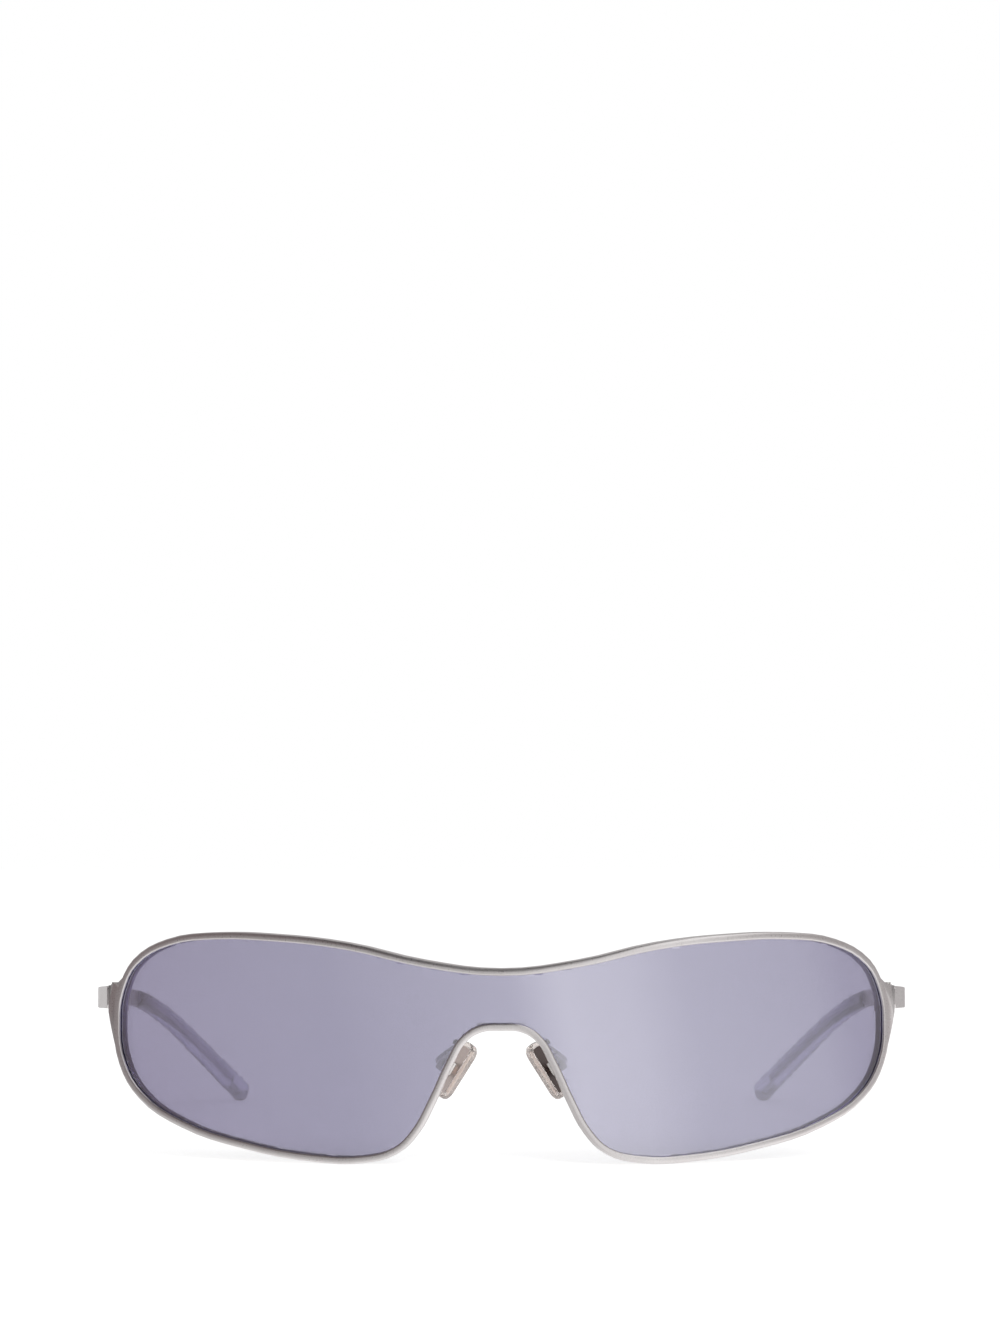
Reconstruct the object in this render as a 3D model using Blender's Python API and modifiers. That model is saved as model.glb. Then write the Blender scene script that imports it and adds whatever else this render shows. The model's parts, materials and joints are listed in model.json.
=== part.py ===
"""Wrap-around sunglasses: a metal rim, one shield lens, nose pads and folding temples.

Metres, +Z up. The front faces -Y and X runs across it. The model stands on a table: the two
lowest points of the rim and the ends of both temple tips touch z = 0. The front is drawn flat,
with points (across, depth, up), and then rolled onto an upright cylinder, the wrap. What comes
in pairs is made for the right-hand side, at +X, and mirrored to the left.
"""

import math

import bmesh
import bpy
from mathutils import Matrix, Vector
from mathutils.geometry import interpolate_bezier

# Front
WRAP_RADIUS = 0.150
WRAP_STATION_SPACING = 0.006
LENS_HALF_WIDTH = 0.0724
LENS_HEIGHT = 0.0380
LENS_THICKNESS = 0.0014
LENS_SEAT_DEPTH = 0.00045
LENS_CLEARANCE = 0.0002
RIM_FACE_WIDTH = 0.0013
RIM_DEPTH = 0.0034
RIM_FRONT_LIP = 0.0005
RIM_FRONT_ROUNDING = 0.0004
RIM_EDGE_ROUNDING = 0.00018
# Right half of the lens edge, from the bridge over the side to the nose arch
LENS_LINE_SHARES = (
    (0.000, 0.842), (0.193, 0.882), (0.387, 0.961), (0.580, 0.998), (0.725, 1.000),
    (0.849, 0.958), (0.942, 0.861), (0.989, 0.739), (1.000, 0.610), (0.985, 0.416),
    (0.930, 0.268), (0.815, 0.145), (0.649, 0.058), (0.456, 0.004), (0.343, 0.004),
    (0.267, 0.042), (0.221, 0.124), (0.180, 0.263), (0.134, 0.450), (0.102, 0.553),
    (0.058, 0.610), (0.000, 0.621),
)
LINE_STEPS = 4
CROWN_STEPS = 3
EDGE_STEPS = 2

# End pieces, the plates at both ends of the rim that carry the hinges. They reach past the
# lens opening, and the hinges stand a rise above its widest points.
END_REACH = 0.00235
END_HALF_WIDTH = LENS_HALF_WIDTH + END_REACH
END_HALF_HEIGHT = 0.0024
END_THICKNESS = 0.0012
END_SETBACK = 0.00004
HINGE_RISE = 0.0039
FLARE_TOP_RISE = 0.0036
FLARE_TOP_RUN = 0.0030
FLARE_BOTTOM_DROP = 0.0094
FLARE_BOTTOM_RUN = 0.0008
FLARE_LEAD_SHARE = 0.75
FLARE_REACH_SHARE = 0.45
FLARE_STEPS = 8
END_ROOT_DEPTH = 0.0010
END_ROOT_WIDTH = 0.0002

# Hinge, seen from above: past the end piece's edge, and away from the rim's back
PIN_PAST_EDGE = 0.00154
PIN_BEHIND_RIM = 0.0010
PIN_RADIUS = 0.00035
PIN_HEAD_RADIUS = 0.0007
PIN_HEAD_HEIGHT = 0.0003
PIN_SLOT_WIDTH = 0.0002
PIN_SLOT_DEPTH = 0.00015
BORE_CLEARANCE = 0.00008
KNUCKLE_RADIUS = 0.00085
KNUCKLE_WRAP_ANGLE = math.radians(110.0)
HINGE_HALF_HEIGHT = 0.0024
EAR_THICKNESS = 0.00055
HINGE_CLEARANCE = 0.0001
SEAT_GAP = 0.00015
LEAF_LENGTH = 0.0035
LEAF_HEEL_THICKNESS = 0.0006
ROUND_STEPS = 20

# Temple arm: a flat strip whose narrow tail, the core, runs inside the clear tip
TEMPLE_FRONT_OVERLAP = 0.0030
TEMPLE_SIDE_OFFSET = 0.00144
TEMPLE_STRAIGHT = 0.0098
TEMPLE_BOW_LENGTH = 0.0280
TEMPLE_MIDDLE_LENGTH = 0.0236
EAR_BEND_LENGTH = 0.0385
SPLAY_ANGLE = math.radians(13.4)
RETURN_ANGLE = math.radians(-3.9)
EAR_TURN_ANGLE = math.radians(-22.2)
TILT_ANGLE = math.radians(-3.0)
EAR_DROP_ANGLE = math.radians(-28.1)
PATH_STEP = 0.0001
STATION_SPACING = 0.0035
STRIP_THICKNESS = 0.0009
STRIP_FRONT_HEIGHT = 0.0041
STRIP_BACK_HEIGHT = 0.0032
STRIP_CHAMFER = 0.0006
STRIP_LENGTH = 0.0678
STRIP_RISE = 0.0002
STRIP_EDGE_ROUNDING = 0.00012
CORE_HEIGHT = 0.0014
CORE_END_GAP = 0.0065
ARM_PLATE_THICKNESS = 0.0004
ARM_PLATE_LENGTH = 0.0060
ARM_PLATE_HEIGHT = 0.0032

# Clear temple tip
TIP_HEIGHT = 0.0034
TIP_WIDTH = 0.0026
TIP_CORNER = 0.00115
TIP_SWELL = 1.3
TIP_CORNER_STEPS = 4
TIP_BORE_CLEARANCE = 0.0002
TIP_END_STEPS = 5

# Nose pads, in the pad's own frame: away from the nose, back along it, and up
PAD_OFFSET = (0.0022, 0.0050, -0.0045)
PAD_LEAN = math.radians(31.0)
PAD_SPLAY = math.radians(28.0)
PAD_LENGTH = 0.0110
PAD_WIDTH = 0.0054
PAD_TAPER_SHARE = 0.18
PAD_THICKNESS = 0.0015
PAD_GAP = 0.0004
PAD_CORNER = 0.0020
PAD_ROUNDING = 0.0005
PAD_SKIN = 0.0007
CORNER_STEPS = 5
INSERT_LENGTH = 0.0090
INSERT_WIDTH = 0.0036
INSERT_THICKNESS = 0.0005
INSERT_CORNER = 0.0005
INSERT_CLEARANCE = 0.00015
LUG_THICKNESS = 0.0009
LUG_RADIUS = 0.0007
BOX_LENGTH = 0.0026
BOX_WALL = 0.00045
BOX_FRONT = 0.0009
BOX_BACK = 0.0015
BOX_CLEARANCE = 0.0002
BOX_ROUNDING = 0.00015
PAD_SCREW_RADIUS = 0.0003
PAD_SCREW_HEAD_RADIUS = 0.00055
PAD_SCREW_HEAD_HEIGHT = 0.0003

# Pad arm, a bent wire from the back of the rim to the pad's box
ARM_WIRE_RADIUS = 0.0005
ARM_FOOT_SWELL = 1.5
ARM_FOOT_DROP = 0.00315
ARM_FOOT_REACH = 0.0004
ARM_FOOT_LENGTH = 0.0008
ARM_LOOP_OFFSET = (0.0012, 0.0024, -0.0012)
ARM_CROWN_OFFSET = (0.0031, 0.0033, -0.0027)
ARM_ELBOW_OUT = 0.0006
ARM_RESOLUTION = 5

CUT_OVERRUN = 0.001
WELD_DISTANCE = 0.000001
STATION_SNAP = 0.0001
FLAT_ANGLE = math.radians(0.5)
ROUND_PROFILE = 0.5
SMOOTH_ANGLE = math.radians(35.0)
BEVEL_ANGLE = math.radians(40.0)
RIGHT_ANGLE = math.radians(90.0)
MIRROR = Matrix.Scale(-1, 4, (1, 0, 0))
STAND_UP = Matrix.Rotation(RIGHT_ANGLE, 4, "X")
# Turns a slab drawn in XY so that its thickness lies along X
STAND_ON_EDGE = Matrix(((0, 0, 1, 0), (1, 0, 0, 0), (0, 1, 0, 0), (0, 0, 0, 1)))


def make_material(name, color, roughness, metallic, transmission=0.0):
    material = bpy.data.materials.new(name)
    material.use_nodes = True
    shader = material.node_tree.nodes["Principled BSDF"]
    shader.inputs["Base Color"].default_value = (*color, 1.0)
    shader.inputs["Roughness"].default_value = roughness
    shader.inputs["Metallic"].default_value = metallic
    shader.inputs["Transmission Weight"].default_value = transmission
    return material


def add_object(name, data):
    item = bpy.data.objects.new(name, data)
    PARTS.objects.link(item)
    return item


def add_form(name, form):
    """Turn a finished bmesh into an object."""
    mesh = bpy.data.meshes.new(name)
    form.to_mesh(mesh)
    form.free()
    return add_object(name, mesh)


def evaluated_mesh(item):
    bpy.context.view_layer.update()
    graph = bpy.context.evaluated_depsgraph_get()
    return bpy.data.meshes.new_from_object(item.evaluated_get(graph))


def bake_curve(item):
    """Replace a curve with a welded mesh object."""
    form = bmesh.new()
    form.from_mesh(evaluated_mesh(item))
    bmesh.ops.remove_doubles(form, verts=form.verts, dist=WELD_DISTANCE)
    name = item.name
    bpy.data.objects.remove(item)
    return add_form(name, form)


def bake(item):
    """Give a mesh object the mesh that its modifiers make."""
    mesh = evaluated_mesh(item)
    item.modifiers.clear()
    item.data = mesh
    return item


def combine(item, tool, operation):
    """Cut an object with a tool, or join the tool to it. The tool is used up."""
    modifier = item.modifiers.new(operation, "BOOLEAN")
    modifier.operation = operation
    modifier.object = tool
    item = bake(item)
    bpy.data.objects.remove(tool)
    return item


def round_edges(item, width, segments):
    bevel = item.modifiers.new("rounded_edges", "BEVEL")
    bevel.width = width
    bevel.segments = segments
    bevel.limit_method = "ANGLE"
    bevel.angle_limit = BEVEL_ANGLE
    return bake(item)


def clear_flats(item):
    """Dissolve the edges inside flat faces."""
    form = bmesh.new()
    form.from_mesh(item.data)
    bmesh.ops.dissolve_limit(
        form, angle_limit=FLAT_ANGLE, use_dissolve_boundaries=False, verts=form.verts,
        edges=form.edges
    )
    form.to_mesh(item.data)
    form.free()


def outline_curve(name, loop):
    """A closed flat curve through (across, up) points."""
    curve = bpy.data.curves.new(name, "CURVE")
    curve.dimensions = "2D"
    spline = curve.splines.new("POLY")
    spline.points.add(len(loop) - 1)
    spline.use_cyclic_u = True
    for point, (across, up) in zip(spline.points, loop):
        point.co = (across, up, 0, 1)
    return curve


def slab(name, loop, low, high):
    """A flat outline in XY, extruded from z = low to high."""
    curve = outline_curve(name, loop)
    curve.fill_mode = "BOTH"
    curve.extrude = (high - low) / 2
    item = bake_curve(add_object(name, curve))
    clear_flats(item)
    item.data.transform(Matrix.Translation((0, 0, (low + high) / 2)))
    return item


def plate(name, loop, front, back):
    """An upright outline of (across, up) points, extruded from y = front to back."""
    item = slab(name, loop, -back, -front)
    item.data.transform(STAND_UP)
    return item


def sweep(name, loop, profile):
    """A profile of (outward, depth) points, carried once round an upright loop."""
    section = add_object("section", outline_curve("section", [(-out, -depth) for out, depth in profile]))
    curve = outline_curve(name, loop)
    curve.bevel_mode = "OBJECT"
    curve.bevel_object = section
    item = bake_curve(add_object(name, curve))
    bpy.data.objects.remove(section)
    item.data.transform(STAND_UP)
    return item


def box(name, low, high):
    low, high = Vector(low), Vector(high)
    form = bmesh.new()
    bmesh.ops.create_cube(form, size=1)
    bmesh.ops.scale(form, vec=high - low, verts=form.verts)
    bmesh.ops.translate(form, vec=(low + high) / 2, verts=form.verts)
    return add_form(name, form)


def rod(name, radius, low, high, axis="Z"):
    """A round rod along Z or Y, from low to high."""
    form = bmesh.new()
    bmesh.ops.create_cone(
        form, cap_ends=True, segments=ROUND_STEPS, radius1=radius, radius2=radius, depth=high - low
    )
    bmesh.ops.translate(form, vec=(0, 0, (low + high) / 2), verts=form.verts)
    if axis == "Y":
        turn = Matrix.Rotation(-RIGHT_ANGLE, 3, "X")
        bmesh.ops.rotate(form, matrix=turn, verts=form.verts)
    return add_form(name, form)


def arc(centre, radius, start, end, steps):
    """Points on an arc, both ends included."""
    angles = [start + (end - start) * index / steps for index in range(steps + 1)]
    return [
        (centre[0] + radius * math.cos(angle), centre[1] + radius * math.sin(angle))
        for angle in angles
    ]


def rounded_rectangle(width, height, corner, steps):
    across, up = width / 2 - corner, height / 2 - corner
    centres = ((across, up), (-across, up), (-across, -up), (across, -up))
    points = []
    for index, centre in enumerate(centres):
        start = index * RIGHT_ANGLE
        points += arc(centre, corner, start, start + RIGHT_ANGLE, steps)
    return points


def smooth_loop(knots, steps):
    """Points on a closed Bezier curve that runs smoothly through the knots."""
    curve = bpy.data.curves.new("smooth_loop", "CURVE")
    curve.resolution_u = steps
    spline = curve.splines.new("BEZIER")
    spline.bezier_points.add(len(knots) - 1)
    spline.use_cyclic_u = True
    for point, (across, up) in zip(spline.bezier_points, knots):
        point.co = (across, up, 0)
        point.handle_left_type = "AUTO"
        point.handle_right_type = "AUTO"
    item = bake_curve(add_object("smooth_loop", curve))
    points = [(vertex.co.x, vertex.co.y) for vertex in item.data.vertices]
    bpy.data.objects.remove(item)
    return points


def offset_loop(loop, distance):
    """The line at a distance outside a closed loop that runs clockwise."""
    points = []
    for index, (across, up) in enumerate(loop):
        before, after = loop[index - 1], loop[(index + 1) % len(loop)]
        along = Vector((after[0] - before[0], after[1] - before[1])).normalized()
        points.append((across - along.y * distance, up + along.x * distance))
    return points


def crossings(loop, height):
    """Where a loop's right half crosses a height, from the nose outward."""
    found = []
    for start, end in zip(loop, loop[1:] + loop[:1]):
        if (start[1] - height) * (end[1] - height) < 0:
            share = (height - start[1]) / (end[1] - start[1])
            across = start[0] + (end[0] - start[0]) * share
            if across > 0:
                found.append(across)
    return sorted(found)


def on_wrap(point):
    """Roll a flat point (across, depth, up) onto the wrap."""
    angle = point[0] / WRAP_RADIUS
    reach = WRAP_RADIUS - point[1]
    return Vector((reach * math.sin(angle), WRAP_RADIUS - reach * math.cos(angle), point[2]))


def cut_across(item, axis, spacing, length):
    """Add edges at regular stations along an axis, so that the mesh can be bent there."""
    form = bmesh.new()
    form.from_mesh(item.data)
    normal = Vector((0, 0, 0))
    normal[axis] = 1
    count = math.ceil(length / spacing)
    for index in range(-count, count + 1):
        everything = [*form.verts, *form.edges, *form.faces]
        bmesh.ops.bisect_plane(
            form, geom=everything, dist=STATION_SNAP, plane_co=normal * index * spacing,
            plane_no=normal
        )
    form.to_mesh(item.data)
    form.free()


def wrap(item):
    for vertex in item.data.vertices:
        vertex.co = on_wrap(vertex.co)
    return item


def finish(item, material, parent, placement=Matrix()):
    """Close a piece: outward faces, smooth shading, material and place."""
    form = bmesh.new()
    form.from_mesh(item.data)
    bmesh.ops.recalc_face_normals(form, faces=form.faces)
    form.to_mesh(item.data)
    form.free()
    item.data.shade_smooth()
    item.data.set_sharp_from_angle(angle=SMOOTH_ANGLE)
    item.data.materials.clear()
    item.data.materials.append(material)
    item.parent = parent
    item.matrix_basis = placement
    return item


def mirror_to_left(item, parent):
    """The left-hand copy of a right-hand piece."""
    mesh = item.data.copy()
    mesh.transform(MIRROR)
    mesh.flip_normals()
    copy = add_object(item.name.replace("right", "left"), mesh)
    copy.parent = parent
    copy.matrix_basis = MIRROR @ item.matrix_basis @ MIRROR
    return copy


def make_pivot(name, parent, placement):
    """An empty on the axis of a joint, or at the reference point of the model."""
    pivot = bpy.data.objects.new(name, None)
    PARTS.objects.link(pivot)
    pivot.parent = parent
    pivot.matrix_basis = placement
    return pivot


# Front: rim, end pieces and lens


def lens_line():
    """The edge of the lens opening, clockwise, at the height where the rim ends at z = 0."""
    half = [(across * LENS_HALF_WIDTH, up * LENS_HEIGHT) for across, up in LENS_LINE_SHARES]
    left = [(-across, up) for across, up in reversed(half[1:-1])]
    loop = smooth_loop(half + left, LINE_STEPS)
    lowest = min(up for across, up in offset_loop(loop, RIM_FACE_WIDTH))
    return [(across, up - lowest) for across, up in loop]


def hinge_height(line):
    """The hinges stand a little above the widest points of the lens opening."""
    return max(line)[1] + HINGE_RISE


def end_piece_edge(root, height):
    """The right end piece's edge: two hollow curves out of the rim and a straight end."""
    top = height + END_HALF_HEIGHT
    bottom = height - END_HALF_HEIGHT

    def on_rim(height):
        return Vector((crossings(root, height)[-1], height, 0))

    upper = interpolate_bezier(
        on_rim(top + FLARE_TOP_RISE),
        on_rim(top + FLARE_TOP_RISE * FLARE_LEAD_SHARE),
        Vector((END_HALF_WIDTH - FLARE_TOP_RUN, top, 0)),
        Vector((END_HALF_WIDTH, top, 0)),
        FLARE_STEPS,
    )
    lower = interpolate_bezier(
        Vector((END_HALF_WIDTH, bottom, 0)),
        Vector((END_HALF_WIDTH - FLARE_BOTTOM_RUN, bottom - FLARE_BOTTOM_DROP * FLARE_REACH_SHARE, 0)),
        on_rim(bottom - FLARE_BOTTOM_DROP * FLARE_LEAD_SHARE),
        on_rim(bottom - FLARE_BOTTOM_DROP),
        FLARE_STEPS,
    )
    return [(point.x, point.y) for point in upper + lower]


def make_end_piece(line):
    """The right end piece, rooted inside the metal of the rim, with its free edges rounded."""
    root = offset_loop(line, END_ROOT_DEPTH)
    edge = end_piece_edge(root, hinge_height(line))
    high, low = edge[0][1], edge[-1][1]
    inner = offset_loop(line, END_ROOT_DEPTH - END_ROOT_WIDTH)
    inner = [point for point in inner if point[0] > END_HALF_WIDTH / 2 and low < point[1] < high]
    item = plate("end_piece", edge + inner[::-1], END_SETBACK, END_THICKNESS)
    form = bmesh.new()
    form.from_mesh(item.data)
    free = [Vector(point) for point in edge[2:-2]]
    on_edge = {
        vertex for vertex in form.verts
        if any((vertex.co.xz - point).length < WELD_DISTANCE for point in free)
    }
    rims = [
        side for side in form.edges
        if on_edge.issuperset(side.verts) and side.verts[0].co.y == side.verts[1].co.y
    ]
    bmesh.ops.bevel(
        form, geom=rims, offset=RIM_EDGE_ROUNDING, segments=EDGE_STEPS, profile=ROUND_PROFILE,
        affect="EDGES"
    )
    form.to_mesh(item.data)
    form.free()
    return item


def rim_section():
    """The rim's section, crowned in front and grooved for the lens: (outward, back from front)."""
    crown, edge = RIM_FRONT_ROUNDING, RIM_EDGE_ROUNDING
    corners = (
        (crown, crown, crown, CROWN_STEPS), (RIM_FACE_WIDTH - crown, crown, crown, CROWN_STEPS),
        (RIM_FACE_WIDTH - edge, RIM_DEPTH - edge, edge, EDGE_STEPS),
        (edge, RIM_DEPTH - edge, edge, EDGE_STEPS),
    )
    points = []
    for index, (out, depth, radius, steps) in enumerate(corners):
        start = (index + 2) * RIGHT_ANGLE
        points += arc((out, depth), radius, start, start + RIGHT_ANGLE, steps)
    bottom = LENS_SEAT_DEPTH + LENS_CLEARANCE
    back = RIM_FRONT_LIP + LENS_THICKNESS + LENS_CLEARANCE * 2
    return points + [(0, back), (bottom, back), (bottom, RIM_FRONT_LIP), (0, RIM_FRONT_LIP)]


def make_rim(line, material, parent):
    """The grooved rim with an end piece joined to each side, rolled onto the wrap."""
    item = sweep("front_rim", line, rim_section())
    right, left = make_end_piece(line), make_end_piece(line)
    left.data.transform(MIRROR)
    left.data.flip_normals()
    for piece in (right, left):
        item = combine(item, piece, "UNION")
    return finish(wrap(item), material, parent)


def make_lens(line, material, parent):
    """One shield lens whose edge sits in the rim's groove all the way round."""
    front = RIM_FRONT_LIP + LENS_CLEARANCE
    edge = offset_loop(line, LENS_SEAT_DEPTH)
    item = plate("shield_lens", edge, front, front + LENS_THICKNESS)
    cut_across(item, 0, WRAP_STATION_SPACING, END_HALF_WIDTH)
    return finish(wrap(item), material, parent)


# Hinges


def end_angle():
    return END_HALF_WIDTH / WRAP_RADIUS


def pin_point(height):
    """Where the hinge pin stands, behind the rim and just past the end piece's edge."""
    edge = on_wrap((END_HALF_WIDTH, RIM_DEPTH, height))
    turn = Matrix.Rotation(end_angle(), 3, "Z")
    return edge + turn @ Vector((PIN_PAST_EDGE, PIN_BEHIND_RIM, 0))


def hinge_bore(name):
    reach = HINGE_HALF_HEIGHT + CUT_OVERRUN
    return rod(name, PIN_RADIUS + BORE_CLEARANCE, -reach, reach)


def make_hinge_leaf(pin, material, parent):
    """The clevis on the back of the rim: a heel with an ear above and below the knuckle."""
    seat = SEAT_GAP - PIN_BEHIND_RIM
    round_end = arc((0, 0), KNUCKLE_RADIUS, -KNUCKLE_WRAP_ANGLE, KNUCKLE_WRAP_ANGLE, ROUND_STEPS // 2)
    loop = [
        (-LEAF_LENGTH, seat),
        *round_end,
        (-LEAF_LENGTH, seat + LEAF_HEEL_THICKNESS),
    ]
    item = slab("hinge_leaf_right", loop, -HINGE_HALF_HEIGHT, HINGE_HALF_HEIGHT)
    slot_back = KNUCKLE_RADIUS + HINGE_CLEARANCE
    slot_half = HINGE_HALF_HEIGHT - EAR_THICKNESS
    slot_reach = KNUCKLE_RADIUS + CUT_OVERRUN
    slot = box(
        "slot", (-slot_back, -slot_reach, -slot_half), (slot_reach, slot_reach, slot_half)
    )
    item = combine(item, slot, "DIFFERENCE")
    item = combine(item, hinge_bore("bore"), "DIFFERENCE")
    placement = Matrix.Translation(pin) @ Matrix.Rotation(end_angle(), 4, "Z")
    return finish(item, material, parent, placement)


def make_hinge_screw(pin, material, parent):
    """A slotted screw, put in from above, that is the hinge's pin."""
    top = HINGE_HALF_HEIGHT + HINGE_CLEARANCE / 2
    item = rod("hinge_screw_right", PIN_RADIUS, -HINGE_HALF_HEIGHT, top + PIN_HEAD_HEIGHT / 2)
    head = rod("head", PIN_HEAD_RADIUS, top, top + PIN_HEAD_HEIGHT)
    item = combine(item, head, "UNION")
    reach = PIN_HEAD_RADIUS + CUT_OVERRUN
    slot = box(
        "slot", (-reach, -PIN_SLOT_WIDTH / 2, top + PIN_HEAD_HEIGHT - PIN_SLOT_DEPTH),
        (reach, PIN_SLOT_WIDTH / 2, top + PIN_HEAD_HEIGHT + CUT_OVERRUN)
    )
    item = combine(item, slot, "DIFFERENCE")
    return finish(item, material, parent, Matrix.Translation(pin))


def make_temple_knuckle(material, parent):
    """The barrel between the ears, with a plate that lies against the temple strip."""
    half = HINGE_HALF_HEIGHT - EAR_THICKNESS - HINGE_CLEARANCE
    item = rod("temple_knuckle_right", KNUCKLE_RADIUS, -half, half)
    strip_face = TEMPLE_SIDE_OFFSET - STRIP_THICKNESS / 2
    arm = box(
        "arm", (strip_face - SEAT_GAP - ARM_PLATE_THICKNESS, 0, STRIP_RISE - ARM_PLATE_HEIGHT / 2),
        (strip_face - SEAT_GAP, ARM_PLATE_LENGTH, STRIP_RISE + ARM_PLATE_HEIGHT / 2)
    )
    item = combine(item, arm, "UNION")
    item = combine(item, hinge_bore("bore"), "DIFFERENCE")
    return finish(item, material, parent, Matrix.Rotation(-SPLAY_ANGLE, 4, "Z"))


# Temples


def path_turn(distance):
    """Heading (outward positive) and pitch of the temple at a distance from its front end."""
    ear_start = TEMPLE_STRAIGHT + TEMPLE_BOW_LENGTH + TEMPLE_MIDDLE_LENGTH
    bow = min(max((distance - TEMPLE_STRAIGHT) / TEMPLE_BOW_LENGTH, 0), 1)
    ear = min(max((distance - ear_start) / EAR_BEND_LENGTH, 0), 1)
    heading = SPLAY_ANGLE + (RETURN_ANGLE - SPLAY_ANGLE) * bow + (EAR_TURN_ANGLE - RETURN_ANGLE) * ear
    return heading, TILT_ANGLE + (EAR_DROP_ANGLE - TILT_ANGLE) * ear


def path_axes(distance):
    """Sideways, along and up directions of the temple at a distance from its front end."""
    heading, pitch = path_turn(distance)
    side = Vector((math.cos(heading), -math.sin(heading), 0))
    along = Vector((
        math.sin(heading) * math.cos(pitch), math.cos(heading) * math.cos(pitch), math.sin(pitch)
    ))
    return side, along, side.cross(along)


def temple_path(height):
    """Points along the temple, from its front end, in the frame of a pin at this height."""
    start = Matrix.Rotation(-SPLAY_ANGLE, 3, "Z") @ Vector((TEMPLE_SIDE_OFFSET, -TEMPLE_FRONT_OVERLAP, 0))
    points = [start + Vector((0, 0, STRIP_RISE))]
    bent = TEMPLE_STRAIGHT + TEMPLE_BOW_LENGTH + TEMPLE_MIDDLE_LENGTH + EAR_BEND_LENGTH
    floor = TIP_HEIGHT * TIP_SWELL / 2 - height
    while points[-1].z > floor or len(points) * PATH_STEP < bent:
        middle = (len(points) - 1 / 2) * PATH_STEP
        points.append(points[-1] + path_axes(middle)[1] * PATH_STEP)
    return points


def temple_frame(path, distance):
    """Matrix that carries (sideways, 0, up) at a distance along the temple to its place."""
    index = min(max(int(distance / PATH_STEP), 0), len(path) - 2)
    point = path[index].lerp(path[index + 1], distance / PATH_STEP - index)
    frame = Matrix(path_axes(distance)).transposed().to_4x4()
    frame.translation = point
    return frame


def ribbon(name, path, outline, thickness):
    """A flat sheet outline of (distance, up) points, bent along the temple and thickened."""
    form = bmesh.new()
    form.faces.new([form.verts.new((0, distance, up)) for distance, up in outline])
    item = add_form(name, form)
    cut_across(item, 1, STATION_SPACING, max(distance for distance, up in outline))
    for vertex in item.data.vertices:
        vertex.co = temple_frame(path, vertex.co.y) @ Vector((0, 0, vertex.co.z))
    solidify = item.modifiers.new("thickness", "SOLIDIFY")
    solidify.thickness = thickness
    solidify.offset = 0
    return bake(item)


def make_temple_strip(path, material, parent):
    """The metal arm: tapered, with clipped corners, and a narrow core for the tip."""
    front, back, core = STRIP_FRONT_HEIGHT / 2, STRIP_BACK_HEIGHT / 2, CORE_HEIGHT / 2
    upper = [
        (0, front - STRIP_CHAMFER), (STRIP_CHAMFER, front),
        (STRIP_LENGTH - STRIP_CHAMFER, back), (STRIP_LENGTH, back - STRIP_CHAMFER),
        (STRIP_LENGTH, core), (core_end(path), core),
    ]
    lower = [(distance, -up) for distance, up in reversed(upper)]
    item = ribbon("temple_strip_right", path, upper + lower, STRIP_THICKNESS)
    return finish(round_edges(item, STRIP_EDGE_ROUNDING, 1), material, parent)


def tip_end(path):
    return (len(path) - 1) * PATH_STEP


def core_end(path):
    return tip_end(path) - CORE_END_GAP


def tip_stations(path):
    """Distances and scales of the tip's sections, closing in a round end."""
    start, end = STRIP_LENGTH + SEAT_GAP, tip_end(path)
    distances = [start]
    first = math.ceil(start / STATION_SPACING)
    last = math.floor(end / STATION_SPACING)
    distances += [index * STATION_SPACING for index in range(first, last)]
    stations = [
        (distance, 1 + (TIP_SWELL - 1) * (distance - start) / (end - start))
        for distance in distances
    ]
    for index in range(TIP_END_STEPS):
        angle = RIGHT_ANGLE * index / TIP_END_STEPS
        reach = TIP_HEIGHT * TIP_SWELL / 2 * math.sin(angle)
        stations.append((end + reach, TIP_SWELL * math.cos(angle)))
    return stations


def make_temple_tip(path, material, parent):
    """A clear sleeve of rounded section, lofted along the temple, with a blind slot for the core."""
    section = rounded_rectangle(TIP_WIDTH, TIP_HEIGHT, TIP_CORNER, TIP_CORNER_STEPS)
    form = bmesh.new()
    rings = []
    for distance, scale in tip_stations(path):
        frame = temple_frame(path, distance)
        ring = [form.verts.new(frame @ Vector((side * scale, 0, up * scale))) for side, up in section]
        rings.append(ring)
    for ring, following in zip(rings, rings[1:]):
        for index in range(len(ring)):
            form.faces.new((ring[index - 1], ring[index], following[index], following[index - 1]))
    form.faces.new(rings[0])
    form.faces.new(rings[-1])
    bmesh.ops.recalc_face_normals(form, faces=form.faces)
    item = add_form("temple_tip_right", form)
    half = CORE_HEIGHT / 2 + TIP_BORE_CLEARANCE
    start, end = STRIP_LENGTH - CUT_OVERRUN, core_end(path) + TIP_BORE_CLEARANCE
    outline = [(start, half), (end, half), (end, -half), (start, -half)]
    slot = ribbon("slot", path, outline, STRIP_THICKNESS + TIP_BORE_CLEARANCE * 2)
    return finish(combine(item, slot, "DIFFERENCE"), material, parent)


# Nose pads


def arm_foot(line):
    """Where the pad arm stands on the back of the rim, near the lens, beside the nose arch."""
    rim = offset_loop(line, ARM_FOOT_REACH)
    arch = min(up for across, up in rim if abs(across) < RIM_FACE_WIDTH)
    height = arch - ARM_FOOT_DROP
    return Vector((crossings(rim, height)[0], RIM_DEPTH + SEAT_GAP, height))


def pad_placement(line):
    turn = Matrix.Rotation(-PAD_LEAN, 4, "Y") @ Matrix.Rotation(-PAD_SPLAY, 4, "Z")
    return Matrix.Translation(on_wrap(arm_foot(line)) + Vector(PAD_OFFSET)) @ turn


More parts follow.
